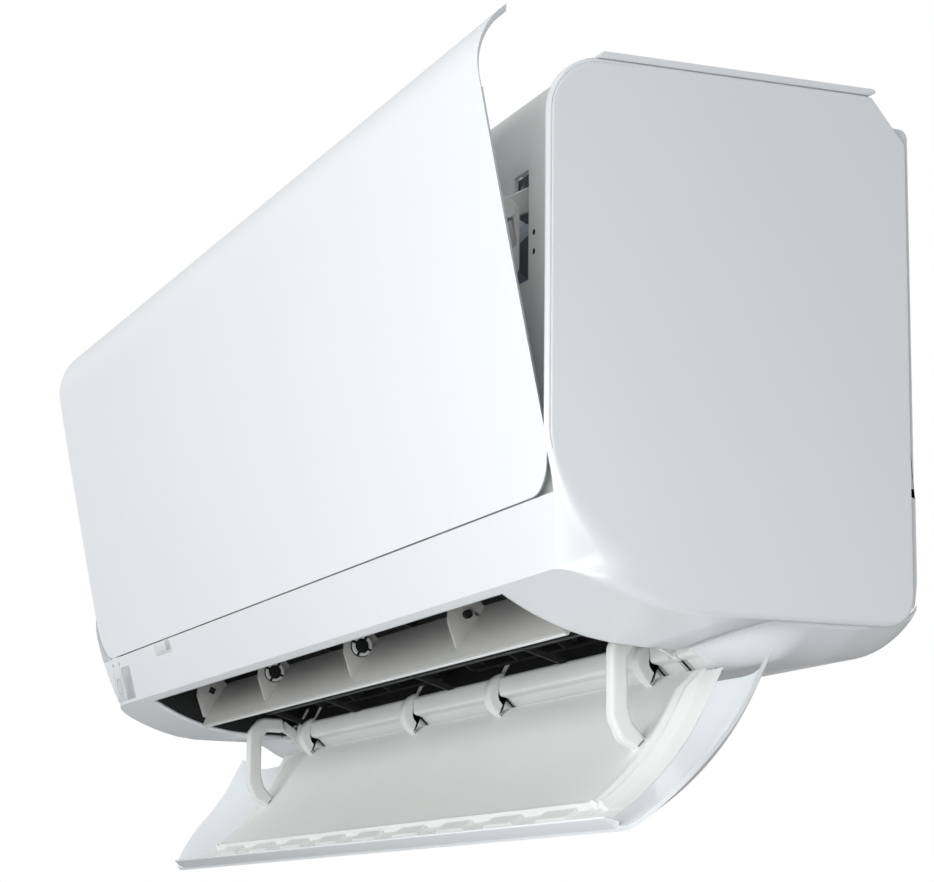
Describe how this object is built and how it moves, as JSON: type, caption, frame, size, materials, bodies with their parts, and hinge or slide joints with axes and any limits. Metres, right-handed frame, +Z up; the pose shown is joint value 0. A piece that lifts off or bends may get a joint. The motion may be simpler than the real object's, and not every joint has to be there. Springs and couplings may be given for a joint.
{
  "type": "mini split indoor unit",
  "caption": "Wall-hung air conditioner indoor unit: front panel and air flap stand open, with fan, coil, louvre and vanes inside.",
  "frame": {"origin": "centre of the wall plate's back face, on the wall", "axes": "+X along the unit's width, +Y into the wall, +Z up; the front faces -Y"},
  "size_m": [0.89, 0.2433, 0.3998],
  "materials": {
    "white_gloss": "gloss moulded ABS",
    "white_matte": "fine-grained moulded ABS",
    "frost": "frosted moulded polycarbonate",
    "duct_black": "matte black moulded polystyrene",
    "grey_plastic": "satin moulded plastic",
    "clear_window": "polished clear acrylic",
    "smoke_window": "smoked acrylic",
    "aluminium_fin": "rolled, hydrophilic coat",
    "copper": "drawn copper, bright",
    "galvanised": "galvanised sheet",
    "shaft_steel": "ground steel",
    "screw_steel": "bright zinc plate",
    "rubber": "moulded rubber",
    "motor_resin": "moulded resin",
    "board_green": "solder-masked laminate"
  },
  "bodies": {
    "unit": {"front_casing": "white_gloss", "top_grille": "white_gloss", "chassis": "white_matte", "display_window": "clear_window", "display_screen": "smoke_window", "lamp_lenses": "clear_window", "receiver_lens": "smoke_window", "panel_motors": "galvanised", "flap_pins": "shaft_steel", "louvre_brackets": "duct_black", "louvre_clips": "white_matte", "louvre_motor": "galvanised", "drain_pan": "duct_black", "drain_spout": "grey_plastic", "outlet_guard": "duct_black", "vane_rails": "duct_black", "air_filter_left": "white_matte", "air_filter_right": "white_matte", "fan_bearing": "rubber", "fan_motor": "motor_resin", "motor_clamp": "white_matte", "coil_fins": "aluminium_fin", "coil_end_plates": "galvanised", "coil_bends": "copper", "refrigerant_pipes": "copper", "pipe_saddle": "white_matte", "control_box": "white_matte", "control_cover": "galvanised", "circuit_board": "board_green", "terminal_block": "duct_black", "cable_clamp": "duct_black", "display_board": "board_green", "casing_screws": "screw_steel", "wall_plate": "galvanised"},
    "panel": {"intake_panel": "white_gloss", "panel_brackets": "white_matte"},
    "crank_right": {"panel_crank_right": "grey_plastic"},
    "crank_left": {"panel_crank_left": "grey_plastic"},
    "flap": {"flap_skin": "white_gloss", "flap_liner": "white_matte", "flap_hooks": "white_matte", "flap_arms": "white_matte"},
    "louvre": {"air_louvre": "frost"},
    "fan": {"fan_wheel": "duct_black", "fan_shafts": "shaft_steel"},
    "button": {"emergency_button": "white_matte"},
    "tie_left": {"vane_tie_left": "duct_black"},
    "tie_right": {"vane_tie_right": "duct_black"},
    "blade_left_1": {"vane_left_1": "duct_black"},
    "blade_left_2": {"vane_left_2": "duct_black"},
    "blade_left_3": {"vane_left_3": "duct_black"},
    "blade_left_4": {"vane_left_4": "duct_black"},
    "blade_right_1": {"vane_right_1": "duct_black"},
    "blade_right_2": {"vane_right_2": "duct_black"},
    "blade_right_3": {"vane_right_3": "duct_black"},
    "blade_right_4": {"vane_right_4": "duct_black"}
  },
  "joints": [
    {"name": "panel_tilt", "type": "hinge", "parent": "unit", "child": "panel", "pos_m": [0, -0.19, -0.07], "axis": [1, 0, 0], "range_deg": [-9.5, 0]},
    {"name": "flap_swing", "type": "hinge", "parent": "unit", "child": "flap", "pos_m": [0, -0.078, -0.137], "axis": [1, 0, 0], "range_deg": [-62.8, 0]},
    {"name": "louvre_tilt", "type": "hinge", "parent": "unit", "child": "louvre", "pos_m": [0, -0.144, -0.1035], "axis": [1, 0, 0], "range_deg": [-35, 25]},
    {"name": "fan_spin", "type": "hinge", "parent": "unit", "child": "fan", "pos_m": [0, -0.098, -0.042], "axis": [1, 0, 0], "continuous": true},
    {"name": "button_push", "type": "slide", "parent": "unit", "child": "button", "axis": [0, 1, 0], "range_m": [0, 0.0015], "stiffness_N_per_m": 400},
    {"name": "crank_turn_right", "type": "hinge", "parent": "unit", "child": "crank_right", "pos_m": [0.38, -0.178, 0.092], "axis": [1, 0, 0], "range_deg": [0, 56.5]},
    {"name": "crank_turn_left", "type": "hinge", "parent": "unit", "child": "crank_left", "pos_m": [-0.38, -0.178, 0.092], "axis": [1, 0, 0], "range_deg": [0, 56.5]},
    {"name": "vane_turn_right_1", "type": "hinge", "parent": "unit", "child": "blade_right_1", "pos_m": [0.04, -0.07402, -0.11561], "axis": [0, -0.8788, 0.4772], "range_deg": [-25, 25]},
    {"name": "vane_turn_right_2", "type": "hinge", "parent": "unit", "child": "blade_right_2", "pos_m": [0.112, -0.07402, -0.11561], "axis": [0, -0.8788, 0.4772], "range_deg": [-25, 25]},
    {"name": "vane_turn_right_3", "type": "hinge", "parent": "unit", "child": "blade_right_3", "pos_m": [0.184, -0.07402, -0.11561], "axis": [0, -0.8788, 0.4772], "range_deg": [-25, 25]},
    {"name": "vane_turn_right_4", "type": "hinge", "parent": "unit", "child": "blade_right_4", "pos_m": [0.256, -0.07402, -0.11561], "axis": [0, -0.8788, 0.4772], "range_deg": [-25, 25]},
    {"name": "tie_slide_right", "type": "slide", "parent": "unit", "child": "tie_right", "axis": [1, 0, 0], "range_m": [-0.0039, 0.0039]},
    {"name": "vane_turn_left_1", "type": "hinge", "parent": "unit", "child": "blade_left_1", "pos_m": [-0.04, -0.07402, -0.11561], "axis": [0, -0.8788, 0.4772], "range_deg": [-25, 25]},
    {"name": "vane_turn_left_2", "type": "hinge", "parent": "unit", "child": "blade_left_2", "pos_m": [-0.112, -0.07402, -0.11561], "axis": [0, -0.8788, 0.4772], "range_deg": [-25, 25]},
    {"name": "vane_turn_left_3", "type": "hinge", "parent": "unit", "child": "blade_left_3", "pos_m": [-0.184, -0.07402, -0.11561], "axis": [0, -0.8788, 0.4772], "range_deg": [-25, 25]},
    {"name": "vane_turn_left_4", "type": "hinge", "parent": "unit", "child": "blade_left_4", "pos_m": [-0.256, -0.07402, -0.11561], "axis": [0, -0.8788, 0.4772], "range_deg": [-25, 25]},
    {"name": "tie_slide_left", "type": "slide", "parent": "unit", "child": "tie_left", "axis": [1, 0, 0], "range_m": [-0.0039, 0.0039]}
  ],
  "couplings": [
    {"joint": "crank_turn_right", "follows": "panel_tilt", "ratio": -5.9474},
    {"joint": "crank_turn_left", "follows": "panel_tilt", "ratio": -5.9474},
    {"joint": "vane_turn_right_1", "follows": "tie_slide_right", "rad_per_m": -111.11},
    {"joint": "vane_turn_right_2", "follows": "tie_slide_right", "rad_per_m": -111.11},
    {"joint": "vane_turn_right_3", "follows": "tie_slide_right", "rad_per_m": -111.11},
    {"joint": "vane_turn_right_4", "follows": "tie_slide_right", "rad_per_m": -111.11},
    {"joint": "vane_turn_left_1", "follows": "tie_slide_left", "rad_per_m": -111.11},
    {"joint": "vane_turn_left_2", "follows": "tie_slide_left", "rad_per_m": -111.11},
    {"joint": "vane_turn_left_3", "follows": "tie_slide_left", "rad_per_m": -111.11},
    {"joint": "vane_turn_left_4", "follows": "tie_slide_left", "rad_per_m": -111.11}
  ]
}
